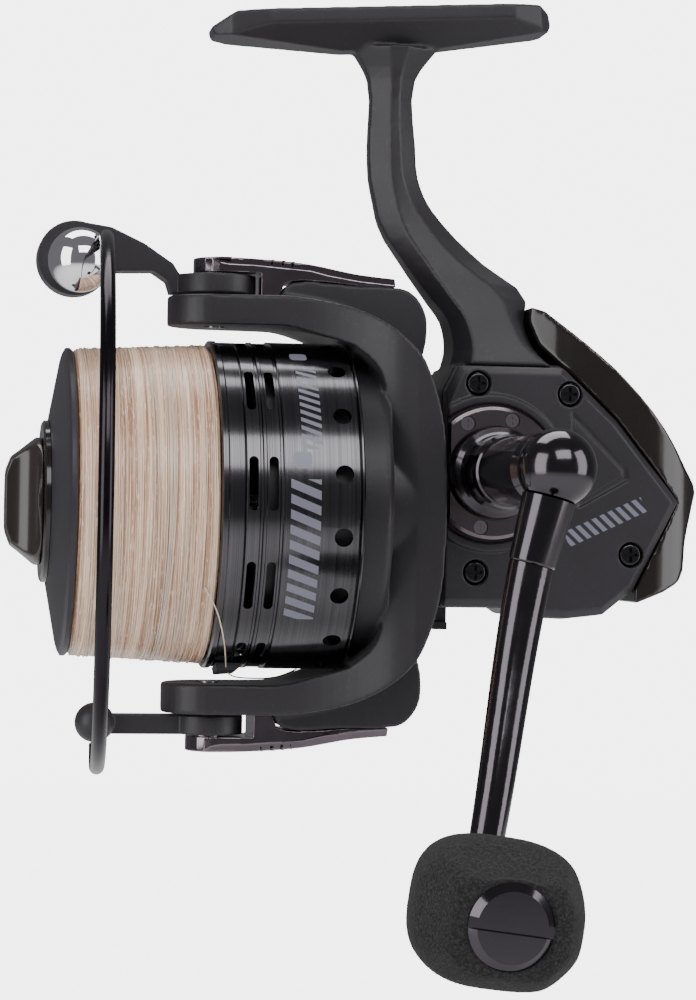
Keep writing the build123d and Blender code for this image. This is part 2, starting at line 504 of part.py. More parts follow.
def rotor_yoke():
    """Cup inside the skirt, with a U-shaped yoke of two arms outside it."""
    yoke = side_plate(mirror_z(YOKE_OUTER), -25, 25) - side_plate(mirror_z(YOKE_INNER), -26, 26)
    near = half_plan(10)
    yoke &= plan_plate([(x, -y) for x, y in near] + [(x, y) for x, y in reversed(near)], -60, 60)
    for side in (1, -1):
        spine = side_plate([(x, side * z) for x, z in SPINE], -SPINE_HALF, SPINE_HALF)
        yoke += spine
    yoke -= rod_x(SWEEP_R, -45, -1.4)
    cup = turned_x([(CUP_FRONT, CUP_R - CUP_WALL), (CUP_FRONT, CUP_R), (WEB_REAR - 1.2, CUP_R),
                    (WEB_REAR, CUP_R - 1.2), (WEB_REAR, CUP_R - CUP_WALL)])
    web = turned_x([(WEB_FRONT, HUB_BORE_R), (WEB_FRONT, CUP_R - 1), (WEB_REAR - 1, CUP_R - 1),
                    (WEB_REAR, CUP_R - 2), (WEB_REAR, SHELL_R), (REAR_X, SHELL_R), (REAR_X, HUB_BORE_R)])
    hub = turned_x([(-7.0, HUB_BORE_R), (-7.0, 8.0), (WEB_FRONT + 1, 9.0), (WEB_FRONT + 1, HUB_BORE_R)])
    yoke += cup + web + hub
    yoke -= rod_x(RECESS_R, RECESS_FRONT, 30)
    yoke -= rod_x(HUB_BORE_R, -8, 4)
    for side in (1, -1):
        yoke -= rod_z(PIVOT_R, side * (ARM_IN - 1), side * (ARM_OUT + 1), PIVOT_X)
        yoke -= rod_z(ARM_SCREW_R - 0.7, side * 44.0, side * 50, ARM_SCREW_X)
    return yoke


keep("rotor_yoke", rotor_yoke())

PINION_FRONT = -12.0
pinion = turned_x([(PINION_FRONT, SHAFT_R + RUN), (PINION_FRONT, PINION_R), (15.6, PINION_R),
                   (15.6, PINION_TIP_R - 0.9), (23.6, PINION_TIP_R - 0.9), (23.6, SHAFT_R + RUN)])
teeth = []
for k in range(PINION_TEETH):
    tooth = Pos(20.3, 0, PINION_TIP_R - 0.75) * Box(6.0, 0.9, 1.3)
    teeth.append(Rot(k * 360 / PINION_TEETH, 0, 0) * tooth)
pinion += teeth
pinion += ring_x(PINION_R - 0.5, BEARING_R + 0.4 - RUN, NOSE_FRONT + 0.3, CLUTCH_REAR - 0.1)
keep("pinion_gear", pinion)
nut = Pos(-9.2, 0, 0) * Rot(0, 90, 0) * extrude(RegularPolygon(8.2, 6), amount=4.0)
keep("rotor_nut", Pos(-1.8, 0, 0) * nut - rod_x(PINION_R, -20, 0))

ARM_COVER = [(-37, LEVER_TOP + 0.4), (-37, COVER_TOP - 0.6)] + curved([
    (-35.5, COVER_TOP), (-22, COVER_TOP - 0.1), (-10, 51.3), (0.5, 49.5), (8.4, 48.8),
]) + [
    (8.4, 46.95), (0.5, 46.95), (-5.5, 47.45), (-11.5, 47.75), (-14.0, 47.55), (-15.6, 46.8),
    (-16.7, ARM_OUT), (-20.5, ARM_OUT), (-20.5, LEVER_TOP + 0.4),
]
ARM_COVER_HALF, ARM_COVER_BEVEL = 6.8, 1.1
ARM_COVER_TIP = PIVOT_X + 2.0 - ARM_COVER_HALF


def cover_bevel(side, bevel_side):
    """Wedge that bevels one long top edge of an arm cover, following its falling top."""
    sections = []
    stations = [(-40, COVER_TOP, 6.75), (-22, COVER_TOP - 0.1, 6.9), (-10, 51.3, 7.15), (0.5, 49.5, 6.9), (12, 48.5, 6.5)]
    for x, z, half in stations:
        corners = [(half - ARM_COVER_BEVEL, z + 0.05), (half + 2, z + 0.05), (half + 2, z - ARM_COVER_BEVEL - 3.0),
                   (half, z - 1.4 * ARM_COVER_BEVEL)]
        points = [Vector(x, bevel_side * y, side * h) for y, h in corners]
        sections.append(Face(Wire.make_polygon(points, close=True)))
    return loft(sections, ruled=True)


def arm_cover(side):
    """Polished cover over a bail pivot, narrower than the arm, on a leg behind the lever."""
    cover = side_plate([(x, side * z) for x, z in ARM_COVER], -10, 10)
    tip = [
        (ARM_COVER_TIP + ARM_COVER_HALF * (1 - cos(radians(a))), ARM_COVER_HALF * sin(radians(a)))
        for a in range(0, 91, 15)
    ]
    plan = tip + [(-6, 7.2), (8.4, 6.6)]
    cover &= plan_plate([(x, -y) for x, y in plan] + [(x, y) for x, y in reversed(plan)], -60, 60)
    for bevel_side in (-1, 1):
        cover -= cover_bevel(side, bevel_side)
    cover -= rod_z(PIVOT_R + 1.4, side * (LEVER_TOP + 0.2), side * (COVER_TOP - 1.2), PIVOT_X)
    cover -= rod_z(ARM_SCREW_R + 0.1, side * 48.2, side * 50, ARM_SCREW_X)
    return cover - rod_z(ARM_SCREW_R - 0.7, side * 44, side * 50, ARM_SCREW_X)


def pivot_screw(side):
    """Shouldered screw on which a bail lever turns: shank in the arm, head above the lever."""
    shank = rod_z(PIVOT_R, side * (ARM_IN - 0.2), side * (LEVER_TOP + 0.3), PIVOT_X)
    return shank + rod_z(PIVOT_R + 1.3, side * (LEVER_TOP + 0.3), side * (LEVER_TOP + 1.5), PIVOT_X)


for side, label in ((1, "upper"), (-1, "lower")):
    keep("arm_cover_" + label, arm_cover(side))
    keep("bail_pivot_" + label, pivot_screw(side))
    screw = rod_z(ARM_SCREW_R, side * 48.2, side * 49.2, ARM_SCREW_X)
    screw += rod_z(ARM_SCREW_R - 0.7, side * 44.2, side * 48.2, ARM_SCREW_X)
    screw -= block(ARM_SCREW_X - 1, ARM_SCREW_X + 1, -0.2, 0.2, side * 48.8, side * 50)
    keep("arm_cover_screw_" + label, screw)

# ---------------------------------------------------------------- bail
LEVER_BASE_R = 8.6
LEVER_BOTTOM = ARM_OUT + LEVER_GAP
UPPER_LEVER = [
    (-34.4, LEVER_BOTTOM), (-39.2, LEVER_BOTTOM), (-40.0, 47.2), (-43.0, 49.2), (-51.0, 48.9), (-56.0, 45.8),
    (-61.5, 44.2), (-66.6, 49.4), (-66.0, 55.0), (-62.0, 58.6), (-57.5, 59.0), (-52.0, 58.2), (-45.0, 55.0),
    (-38.8, 50.9), (-37.4, LEVER_TOP), (-34.4, LEVER_TOP),
]
LEVER_NEAR, LEVER_FAR = -2.6, 4.6
HOUSING_R = 7.9
AXLE_R = 1.5
ROLLER_NEAR, ROLLER_FAR = LEVER_NEAR - 4.4, LEVER_NEAR - 0.2


def upper_lever():
    """Lever on the upper pivot whose front end is a round housing behind the line roller."""
    lever = side_plate(UPPER_LEVER, LEVER_NEAR, LEVER_FAR)
    lever += rod_z(LEVER_BASE_R, LEVER_BOTTOM, LEVER_TOP, PIVOT_X)
    lever += rod_y(HOUSING_R, LEVER_NEAR, LEVER_FAR, ROLLER_X - 0.6, ROLLER_Z + 1.3)
    lever -= rod_z(PIVOT_R + RUN, LEVER_BOTTOM - 1, LEVER_TOP + 1, PIVOT_X)
    lever -= rod_y(AXLE_R, LEVER_NEAR - 1, LEVER_FAR + 1, ROLLER_X, ROLLER_Z)
    return lever


keep("bail_lever_upper", upper_lever())
cap_ball = Pos(ROLLER_X, CAP_Y, ROLLER_Z) * Sphere(CAP_R)
cap_ball -= block(-80, -40, ROLLER_NEAR - 0.2, 0, 30, 70)
keep("roller_cap", cap_ball - rod_y(AXLE_R, CAP_Y + 1, 0, ROLLER_X, ROLLER_Z))
axle = rod_y(AXLE_R, CAP_Y + 1, LEVER_FAR, ROLLER_X, ROLLER_Z)
keep("roller_axle", axle + rod_y(2.6, LEVER_FAR, LEVER_FAR + 1.0, ROLLER_X, ROLLER_Z))
roller_mid = (ROLLER_NEAR + ROLLER_FAR) / 2
roller = turned_y(
    [(ROLLER_NEAR, AXLE_R + RUN), (ROLLER_NEAR, 4.9), (ROLLER_NEAR + 0.7, 4.9), (roller_mid, 3.9),
     (ROLLER_FAR - 0.7, 4.9), (ROLLER_FAR, 4.9), (ROLLER_FAR, AXLE_R + RUN)], ROLLER_X, ROLLER_Z)
keep("line_roller", roller)

HOOK_R = 4.4                      # tight bend at the wire's lower end
EYE_X, EYE_Y, EYE_Z = -53.9, RING_Y + HOOK_R, -46.2
EYE_R, WIRE_PIN_R = 4.2, 1.2
WIRE_X, WIRE_TILT, WIRE_TOP_ANGLE = -53.7, 0.058, 88.0


def wire_point(y, z):
    """Point of the wire's plane, which leans forward a little on the near side."""
    return Vector(WIRE_X + WIRE_TILT * (y - RING_Y), y, z)


WIRE_END = wire_point(RING_Y + HOOK_R, -RING_R + HOOK_R)


def lower_lever():
    """Lever on the lower pivot: a flat bar that ends in a round eye for the wire."""
    bar = block(-53.5, PIVOT_X, -3.8, 2.6, -LEVER_TOP, -LEVER_BOTTOM)
    bar += rod_z(LEVER_BASE_R - 1.2, -LEVER_TOP, -LEVER_BOTTOM, PIVOT_X)
    bar += Pos(EYE_X, EYE_Y, EYE_Z) * Sphere(EYE_R)
    bar -= rod_z(WIRE_PIN_R, -52, EYE_Z - 1, WIRE_END.X, WIRE_END.Y)
    bar -= rod_z(PIVOT_R + RUN, -LEVER_TOP - 1, -LEVER_BOTTOM + 1, PIVOT_X)
    return bar


def wire_path():
    """Half ring round the spool's near side, with a tight hook up into the lower lever's eye."""
    def on_ring(angle):
        return wire_point(RING_Y - RING_R * cos(radians(angle)), RING_R * sin(radians(angle)))

    ring = ThreePointArc(on_ring(WIRE_TOP_ANGLE), on_ring(0), on_ring(-90))
    low_z = WIRE_END.Z - HOOK_R * cos(pi / 4)
    bend = wire_point(RING_Y + HOOK_R * sin(pi / 4), low_z)
    return Wire([ring, ThreePointArc(on_ring(-90), bend, WIRE_END)])


path = wire_path()
start_plane = Plane(origin=path @ 0, z_dir=path % 0)
wire = sweep((start_plane * Circle(WIRE_R)).face(), path=path)
wire -= Pos(ROLLER_X, CAP_Y, ROLLER_Z) * Sphere(CAP_R)
wire += rod_z(WIRE_PIN_R, WIRE_END.Z - 0.5, EYE_Z - 1, WIRE_END.X, WIRE_END.Y)
keep("bail_wire", wire)
keep("bail_lever_lower", lower_lever())

# ---------------------------------------------------------------- main shaft and drag washers
SHAFT_FRONT, SHAFT_REAR = -70.6, 61.0
SLIDER_X = (53.0, 59.0)
keep("main_shaft", rod_x(SHAFT_R, SHAFT_FRONT, SHAFT_REAR))
slider = block(*SLIDER_X, -4.0, 4.0, -5.4, 3.6) - rod_x(SHAFT_R, *SLIDER_X)
slider -= block(SLIDER_X[0] + 1.6, SLIDER_X[1] - 1.6, -5, -2.9, -4.4, 2.6)
keep("oscillation_slider", slider)
WASHER_GAP = 0.06
POCKET_FLOOR = -54.0
stack = []
for number, thick in enumerate((1.1, 0.9, 1.1)):
    rear = POCKET_FLOOR - WASHER_GAP - sum(t + WASHER_GAP for t in stack)
    stack.append(thick)
    keyed = number % 2
    name = f"drag_disc_{(number + 1) // 2}" if keyed else f"drag_felt_{number // 2 + 1}"
    inner = SHAFT_R if keyed else SHAFT_R + 0.8
    keep(name, ring_x(inner, POCKET_R - 0.4, rear - thick, rear))
STACK_FRONT = POCKET_FLOOR - WASHER_GAP - sum(t + WASHER_GAP for t in stack)

# ---------------------------------------------------------------- spool
BEARING_OUT = 5.2
hub_rear = LINE_REAR + 2.0
spool_core = turned_x([
    (LINE_FRONT, ARBOR_R), (hub_rear, ARBOR_R), (hub_rear, BEARING_OUT), (POCKET_FLOOR, BEARING_OUT),
    (POCKET_FLOOR, POCKET_R), (-58.4, POCKET_R), (-58.4, POCKET_R + 1.8), (POCKET_FLOOR + 2.0, POCKET_R + 1.8),
    (POCKET_FLOOR + 2.0, BEARING_OUT + 1.8), (LINE_REAR, BEARING_OUT + 1.8), (LINE_REAR, ARBOR_R - ARBOR_WALL),
    (LINE_FRONT, ARBOR_R - ARBOR_WALL),
])
keep("spool_core", spool_core)
spool_front = turned_x([
    (SPOOL_FRONT, POCKET_R), (SPOOL_FRONT, 17.8), (-62.0, 30.6), (-61.7, 31.6), (-61.2, RIM_R), (-60.4, RIM_R),
    (LINE_FRONT, RIM_R - 0.5), (LINE_FRONT, ARBOR_R - ARBOR_WALL), (-57.0, ARBOR_R - ARBOR_WALL),
    (-57.0, ARBOR_R - ARBOR_WALL - 2), (-61.4, ARBOR_R - ARBOR_WALL - 2), (-61.4, POCKET_R + 2.0),
    (-58.4, POCKET_R + 2.0), (-58.4, POCKET_R),
])
keep("spool_front", spool_front)


def spool_skirt():
    """Skirt with a bright lip, turned bands, two rows of slots, a row of holes and a rear bead."""
    r, inner = SKIRT_R, SKIRT_R - SKIRT_WALL
    skirt = turned_x([
        (LINE_REAR, ARBOR_R), (LINE_REAR, r - 0.5), (-31.0, r), (-30.0, r), (-29.7, r - 0.3), (-26.7, r - 0.3),
        (-26.5, r - 0.6), (-26.2, r - 0.3), (-23.6, r - 0.3), (-23.4, r - 0.6), (-23.0, r - 0.6), (-22.8, r - 0.1),
        (-22.3, r - 0.1), (-22.1, r - 0.3), (-19.5, r - 0.3), (-19.3, r - 0.6), (-18.9, r - 0.6), (-18.7, r),
        (-3.3, r), (-3.0, r - 0.4), (-2.7, r), (SKIRT_REAR - 0.3, r), (SKIRT_REAR, r - 0.3),
        (SKIRT_REAR, inner), (hub_rear, inner), (hub_rear, ARBOR_R),
    ])
    cutters = []
    for k in range(SLOTS):
        for row in (-24.9, -20.8):
            cutters.append(around_x(k * 360 / SLOTS + 7.0) * skirt_slot(row))
    for k in range(HOLES):
        cutters.append(around_x(k * 360 / HOLES + 10.4) * rod_y(HOLE_R, -r - 2, -inner + 3, -6.4))
    return skirt - cutters


def skirt_slot(x):
    """One rounded slot on the -Y side that runs round the skirt."""
    half = SLOT_ARC / 2 * SKIRT_R * pi / 180 - 0.9
    slot = block(x - 0.95, x + 0.95, -SKIRT_R - 2, -SKIRT_R + SKIRT_WALL + 3, -half, half)
    return slot + rod_y(0.95, -SKIRT_R - 2, -SKIRT_R + SKIRT_WALL + 3, x, half) + rod_y(
        0.95, -SKIRT_R - 2, -SKIRT_R + SKIRT_WALL + 3, x, -half)


keep("spool_skirt", spool_skirt())
line = turned_x([(LINE_FRONT, ARBOR_R), (LINE_FRONT, LINE_FRONT_R - 0.6), (LINE_FRONT + 0.8, LINE_FRONT_R),
                 (LINE_REAR - 6, LINE_REAR_R - 0.1), (LINE_REAR - 0.8, LINE_REAR_R), (LINE_REAR, LINE_REAR_R - 0.4),
                 (LINE_REAR, ARBOR_R)])
keep("line_winding", line)
for number, x in enumerate((POCKET_FLOOR, hub_rear - 3.0), 1):
    keep(f"spool_bearing_{number}", ring_x(SHAFT_R + RUN, BEARING_OUT, x, x + 3.0))
ratchet = ring_x(BEARING_OUT + 0.2, 10.0, hub_rear, hub_rear + 1.4)
notches = []
for k in range(24):
    notches.append(around_x(k * 15) * rod_x(0.7, hub_rear - 1, hub_rear + 3, 0, 10.0))
keep("click_ratchet", ratchet - notches)

CLIP_ANGLE = -78.0
clip = turned_x([(-29.4, SKIRT_R - 0.3), (-29.0, SKIRT_R + 1.5), (-25.0, SKIRT_R + 1.2), (-23.4, SKIRT_R - 0.1)])
clip &= around_x(CLIP_ANGLE) * block(-32, -20, -50, 0, -3.4, 3.4)
keep("line_clip", clip - rod_x(SKIRT_R, -32, -20))

# ---------------------------------------------------------------- drag knob
knob_back, plate_front = SPOOL_FRONT - 0.12, SPOOL_FRONT - 1.4
keep("drag_knob_plate", turned_x([
    (knob_back, SHAFT_R + RUN), (knob_back, KNOB_FLANGE_R), (plate_front + 0.4, KNOB_FLANGE_R),
    (plate_front, KNOB_FLANGE_R - 0.5), (plate_front, SHAFT_R + RUN)]))
knob = turned_x([
    (plate_front, 0), (plate_front, KNOB_R), (plate_front - 1.2, KNOB_R), (-70.6, 10.6), (-72.2, 9.4),
    (KNOB_TIP, 6.5), (KNOB_TIP - 0.1, 0)])
for side in (-1, 1):
    knob -= rod_z(6.4, -20, 20, -72.6, side * 10.2)
knob -= rod_x(SHAFT_R + RUN, SHAFT_FRONT - 0.3, -60)
keep("drag_knob", knob)
keep("drag_knob_boss", ring_x(SHAFT_R + RUN, POCKET_R - 1.2, knob_back, STACK_FRONT - WASHER_GAP))

# ---------------------------------------------------------------- loose end of line
# it leaves the winding, crosses the skirt, is held by the clip and springs out below it;
# each point is: place along X, angle round the skirt, radius
TAIL_R = 0.15
TAIL_ROUTE = [
    (-34.0, -30, 34.05), (-31.6, -36, 35.2), (-29.9, -45, 35.35), (-28.6, -55, 35.35), (-27.6, -66, 35.4),
    (-26.8, -77, 36.0), (-24.6, -85, 36.7), (-20.8, -89, 36.95), (-16.8, -91, 37.0), (-12.9, -96, 36.75),
    (-9.4, -103, 36.3),
]


def tail():
    """Thin tube of straight runs joined by tangent arcs."""
    points = [Vector(x, -r * cos(radians(a)), r * sin(radians(a))) for x, a, r in TAIL_ROUTE]
    radii = []
    for before, here, after in zip(points, points[1:], points[2:]):
        turn = radians((here - before).get_angle(after - here))
        shorter = min((here - before).length, (after - here).length)
        radii.append(0.45 * shorter / tan(turn / 2))
    route = FilletPolyline(*points, radius=radii)
    print("line tail length", round(route.length, 2), "radii", [round(r, 1) for r in radii])
    start = Plane(origin=route @ 0, z_dir=route % 0)
    tube = sweep((start * Circle(TAIL_R)).face(), path=route)
    print("tube volume", round(tube.volume, 3), "of", round(pi * TAIL_R**2 * route.length, 3))
    return tube


keep("line_tail", tail())
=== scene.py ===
"""Looks of a front-drag spinning reel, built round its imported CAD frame.

Lengths inside the shape functions are millimetres in the reel's own working axes: the spool
turns about X with its front towards -X, Z is up and the handle is on the -Y side. metres()
moves them into the frame, whose origin is the centre of the foot's seat.
"""
import json

import bpy
import numpy as np
from mathutils import Matrix, Vector


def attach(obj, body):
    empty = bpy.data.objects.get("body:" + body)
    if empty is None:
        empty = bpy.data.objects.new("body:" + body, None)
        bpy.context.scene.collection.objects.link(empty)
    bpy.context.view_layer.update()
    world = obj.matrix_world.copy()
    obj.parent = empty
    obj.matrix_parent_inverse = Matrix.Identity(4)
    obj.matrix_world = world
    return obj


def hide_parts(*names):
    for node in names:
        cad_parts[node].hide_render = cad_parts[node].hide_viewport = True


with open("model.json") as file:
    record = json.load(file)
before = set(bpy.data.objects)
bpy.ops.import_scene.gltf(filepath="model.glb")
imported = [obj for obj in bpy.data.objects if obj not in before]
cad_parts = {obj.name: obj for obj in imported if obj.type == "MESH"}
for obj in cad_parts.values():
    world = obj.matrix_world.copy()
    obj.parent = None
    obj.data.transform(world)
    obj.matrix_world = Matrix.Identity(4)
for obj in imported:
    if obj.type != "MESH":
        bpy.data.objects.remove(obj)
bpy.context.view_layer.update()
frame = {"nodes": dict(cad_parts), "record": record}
NODES = frame["nodes"]
SEAT = np.array([5.0, 0.0, 106.7])      # centre of the foot's seat
MM = 0.001
AXIS_Z = -SEAT[2] * MM                # height of the spool axis in the frame
HANDLE_X, HANDLE_Z = 27.3, 7.5        # handle axis
SKIRT_R = 34.8                        # spool skirt
COVER_NEAR = -16.9                    # just inside the side cover's near face
RNG = np.random.default_rng(7)


def metres(points):
    """Working millimetres to the frame's metres: (p - seat) / 1000."""
    return (np.asarray(points, float) - SEAT) * MM


def smoothstep(low, high, value):
    """0 below low, 1 above high, 3t^2 - 2t^3 between."""
    t = np.clip((value - low) / (high - low), 0.0, 1.0)
    return t * t * (3 - 2 * t)


# ---------------------------------------------------------------- mesh makers
def new_piece(name, vertices, faces, finish, body):
    """One smooth object at the origin from vertices in metres, riding on a body."""
    mesh = bpy.data.meshes.new(name)
    vertices = np.asarray(vertices, np.float32)
    faces = np.asarray(faces, np.int32)
    sides = faces.shape[1]
    mesh.vertices.add(len(vertices))
    mesh.vertices.foreach_set("co", vertices.ravel())
    mesh.loops.add(faces.size)
    mesh.loops.foreach_set("vertex_index", faces.ravel())
    mesh.polygons.add(len(faces))
    mesh.polygons.foreach_set("loop_start", np.arange(0, faces.size, sides, dtype=np.int32))
    mesh.polygons.foreach_set("use_smooth", np.ones(len(faces), bool))
    mesh.update(calc_edges=True)
    mesh.validate()
    return dress(bpy.data.objects.new(name, mesh), finish, body)


def dress(piece, finish, body):
    """Link a piece into the scene with its material and body."""
    if piece.name not in bpy.context.scene.collection.objects:
        bpy.context.scene.collection.objects.link(piece)
    piece.data.materials.clear()
    piece.data.materials.append(finish.material)
    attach(piece, body)
    return piece


def grid_faces(rows, columns, wrap_rows=False, wrap_columns=False):
    """Quads of a rows by columns grid of vertices, closed round in either direction."""
    r = np.arange(rows if wrap_rows else rows - 1)
    c = np.arange(columns if wrap_columns else columns - 1)
    r, c = (a.ravel() for a in np.meshgrid(r, c, indexing="ij"))
    r1, c1 = (r + 1) % rows, (c + 1) % columns
    return np.stack([r * columns + c, r * columns + c1, r1 * columns + c1, r1 * columns + c], axis=1)


TUBE_END = 0.5                        # a tube's end ring, as a share of its radius


def tubes(paths, radius, sides):
    """Round tubes along paths of shape (n, points, 3): centre + r (cos a . N + sin a . B).

    N is the tangent T crossed with X, and B is T crossed with N. A fan closes each end.
    """
    paths = np.asarray(paths, float)
    count, stations, _ = paths.shape
    tangent = np.gradient(paths, axis=1)
    tangent /= np.linalg.norm(tangent, axis=2, keepdims=True)
    normal = np.cross(tangent, np.array([1.0, 0.0, 0.0]))
    normal /= np.linalg.norm(normal, axis=2, keepdims=True)
    other = np.cross(tangent, normal)
    angle = np.linspace(0, 2 * np.pi, sides, endpoint=False)
    taper = np.ones(stations)
    taper[[0, -1]] = TUBE_END
    ring = np.cos(angle)[:, None] * normal[:, :, None] + np.sin(angle)[:, None] * other[:, :, None]
    surface = paths[:, :, None] + radius * taper[:, None, None] * ring
    quads = grid_faces(stations, sides, wrap_columns=True)
    fan = np.stack([np.zeros(sides - 2, int), np.arange(1, sides - 1), np.arange(2, sides)], axis=1)
    faces = np.vstack([quads[:, [0, 1, 2]], quads[:, [0, 2, 3]], fan[:, ::-1], fan + (stations - 1) * sides])
    offsets = np.arange(count)[:, None, None] * stations * sides
    return surface.reshape(-1, 3), (faces[None] + offsets).reshape(-1, 3)


def softened(node, voxel, rounds, share, finish, body):
    """A copy of a CAD node with rounded edges: joined, remeshed at voxel mm, smoothed, thinned."""
    source = NODES[node].data
    co = np.empty(len(source.vertices) * 3, np.float32)
    source.vertices.foreach_get("co", co)
    co = co.reshape(-1, 3)
    corner = np.empty(len(source.loops), np.int32)
    source.loops.foreach_get("vertex_index", corner)
    microns = np.round(co * 1e6).astype(np.int64)
    _, first, joined = np.unique(microns, axis=0, return_index=True, return_inverse=True)
    triangles = joined.ravel()[corner].reshape(-1, 3)
    a, b, c = triangles.T
    triangles = triangles[(a != b) & (b != c) & (a != c)]
    name = node + "_soft"
    mesh = bpy.data.meshes.new(name)
    mesh.from_pydata(co[first].tolist(), [], triangles.tolist())
    piece = bpy.data.objects.new(name, mesh)
    bpy.context.scene.collection.objects.link(piece)
    remesh = piece.modifiers.new("remesh", "REMESH")
    remesh.mode = "VOXEL"
    remesh.voxel_size = voxel * MM
    remesh.use_smooth_shade = True
    smooth = piece.modifiers.new("smooth", "SMOOTH")
    smooth.factor, smooth.iterations = 0.5, rounds
    if share < 1:
        piece.modifiers.new("thin", "DECIMATE").ratio = share
    graph = bpy.context.evaluated_depsgraph_get()
    made = bpy.data.meshes.new_from_object(piece.evaluated_get(graph))
    piece.modifiers.clear()
    piece.data = made
    made.polygons.foreach_set("use_smooth", np.ones(len(made.polygons), bool))
    dress(piece, finish, body)
    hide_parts(node)


# ---------------------------------------------------------------- shader kit
class Tap:
    """A socket of a node tree. Sums, products and comparisons of taps add Math nodes."""

    def __init__(self, finish, socket):
        self.finish, self.socket = finish, socket

    def math(self, operation, *others):
        """This tap and others through a Math node."""
        return self.finish.node("Math", {"operation": operation}, [self, *others])

    def back(self, operation, other):
        """The same with this tap second."""
        return self.finish.node("Math", {"operation": operation}, [other, self])

    def __add__(self, other):
        return self.math("ADD", other)

    __radd__ = __add__

    def __sub__(self, other):
        return self.math("SUBTRACT", other)

    def __rsub__(self, other):
        return self.back("SUBTRACT", other)

    def __mul__(self, other):
        return self.math("MULTIPLY", other)

    __rmul__ = __mul__

    def __truediv__(self, other):
        return self.math("DIVIDE", other)

    def __pow__(self, other):
        return self.math("POWER", other)

    def __lt__(self, other):
        return self.math("LESS_THAN", other)

    def __abs__(self):
        return self.math("ABSOLUTE")

    def step(self, low, high):
        """0 below low, 1 above high, smooth between."""
        sockets = {"Value": self, "From Min": low, "From Max": high}
        return self.finish.node("MapRange", {"interpolation_type": "SMOOTHSTEP"}, sockets)


class Finish:
    """One material: its Principled shader's fixed values, and the nodes behind what varies."""

    def __init__(self, name, **fixed):
        self.material = bpy.data.materials.new(name)
        self.material.use_nodes = True
        self.tree = self.material.node_tree
        self.shader = self.tree.nodes["Principled BSDF"]
        for key, value in fixed.items():
            self.shader.inputs[key.replace("_", " ")].default_value = value
        place = self.tree.nodes.new("ShaderNodeTexCoord")
        self.place = Tap(self, place.outputs["Object"])
        split = self.node("SeparateXYZ", {}, [self.place]).socket.node
        self.x, self.y, self.z = (Tap(self, split.outputs[k]) for k in range(3))

    def node(self, kind, settings, inputs, output=0):
        """Add a shader node, its settings first and then its sockets by name or in order."""
        made = self.tree.nodes.new("ShaderNode" + kind)
        for key, value in settings.items():
            setattr(made, key, value)
        pairs = inputs.items() if isinstance(inputs, dict) else enumerate(inputs)
        for key, value in pairs:
            if isinstance(value, Tap):
                self.tree.links.new(value.socket, made.inputs[key])
            else:
                made.inputs[key].default_value = value
        return Tap(self, made.outputs[output])

    def feed(self, socket, tap):
        """Link a tap to one of the shader's sockets."""
        self.tree.links.new(tap.socket, self.shader.inputs[socket])

    def noise(self, scale, detail=3.0, roughness=0.55, vector=None):
        """Noise between 0 and 1; scale counts its lumps in a metre."""
        sockets = {"Vector": vector or self.place, "Scale": scale, "Detail": detail, "Roughness": roughness}
        return self.node("TexNoise", {}, sockets)

    def stretched(self, x, y, z):
        """The object coordinates multiplied by three numbers."""
        return self.node("VectorMath", {"operation": "MULTIPLY"}, [self.place, (x, y, z)])

    def blend(self, share, first, second):
        """A colour from first at 0 to second at 1."""
        mix = self.tree.nodes.new("ShaderNodeMix")
        mix.data_type = "RGBA"
        self.tree.links.new(share.socket, mix.inputs[0])
        for socket, value in ((mix.inputs[6], first), (mix.inputs[7], second)):
            if isinstance(value, Tap):
                self.tree.links.new(value.socket, socket)
            else:
                socket.default_value = (*value, 1.0)
        return Tap(self, mix.outputs[2])

    def bump(self, height, depth, strength=1.0):
        """Relief: height times depth metres on the shader's normal."""
        sockets = {"Height": height, "Distance": depth, "Strength": strength}
        self.feed("Normal", self.node("Bump", {}, sockets))

    def radius(self):
        """Distance from the spool axis."""
        up = self.z - AXIS_Z
        return (self.y * self.y + up * up).math("SQRT")


# ---------------------------------------------------------------- printed marks
PRINT_GREY = (0.17, 0.17, 0.22)


def rounded_patch(along, across, half_along, half_across):
    """1 inside (|u / a|^4 + |v / b|^4) < 1, a rounded oblong."""
    return (abs(along / half_along) ** 4.0 + abs(across / half_across) ** 4.0) < 1.0


def slanted_bars(along, across, half_along, half_across, pitch, share):
    """Equal bars that lean over: the fraction of (u + 0.4 v) / pitch below share, in an oblong."""
    inside = (abs(along) < half_along) * (abs(across) < half_across)
    return inside * (((along + across * 0.4) / pitch).math("FRACT") < share)


def skirt_marks(f):
    """Plain print on the skirt: two rounded squares, a fine row and a broad row of bars."""
    up = f.z - AXIS_Z
    arc = f.node("Math", {"operation": "ARCTAN2"}, [up, 0.0 - f.y]) * SKIRT_R
    x = f.x / MM + SEAT[0]
    marks = rounded_patch(arc - 9.2, x + 15.0, 1.75, 1.95)
    marks = marks + rounded_patch(arc - 38.1, x + 13.8, 1.6, 1.8)
    marks = marks + slanted_bars(arc - 22.7, x + 12.9, 11.2, 2.1, 1.9, 0.5)
    return marks + slanted_bars(arc + 10.2, x + 14.3, 15.4, 3.1, 3.1, 0.6)


def cover_marks(f):
    """A short row of plain bars on the side cover's near face, climbing 25 degrees to the rear."""
    middle_x, middle_z = 52.4, -2.3
    cos, sin = 0.906, 0.423
    x, z = f.x / MM + (SEAT[0] - middle_x), f.z / MM + (SEAT[2] - middle_z)
    along, across = x * cos + z * sin, z * cos - x * sin
    near = f.y < COVER_NEAR * MM
    return near * slanted_bars(along, across, 9.2, 1.7, 1.9, 0.55)


# ---------------------------------------------------------------- finishes
def f_scale(millimetres):
    """Noise scale whose lumps are about that many millimetres."""
    return 1000.0 / millimetres


PAINT_SHADE = 0.018


def shade_of(red, green, blue):
    """A tint of the black paint."""
    return tuple(PAINT_SHADE * share for share in (red, green, blue))


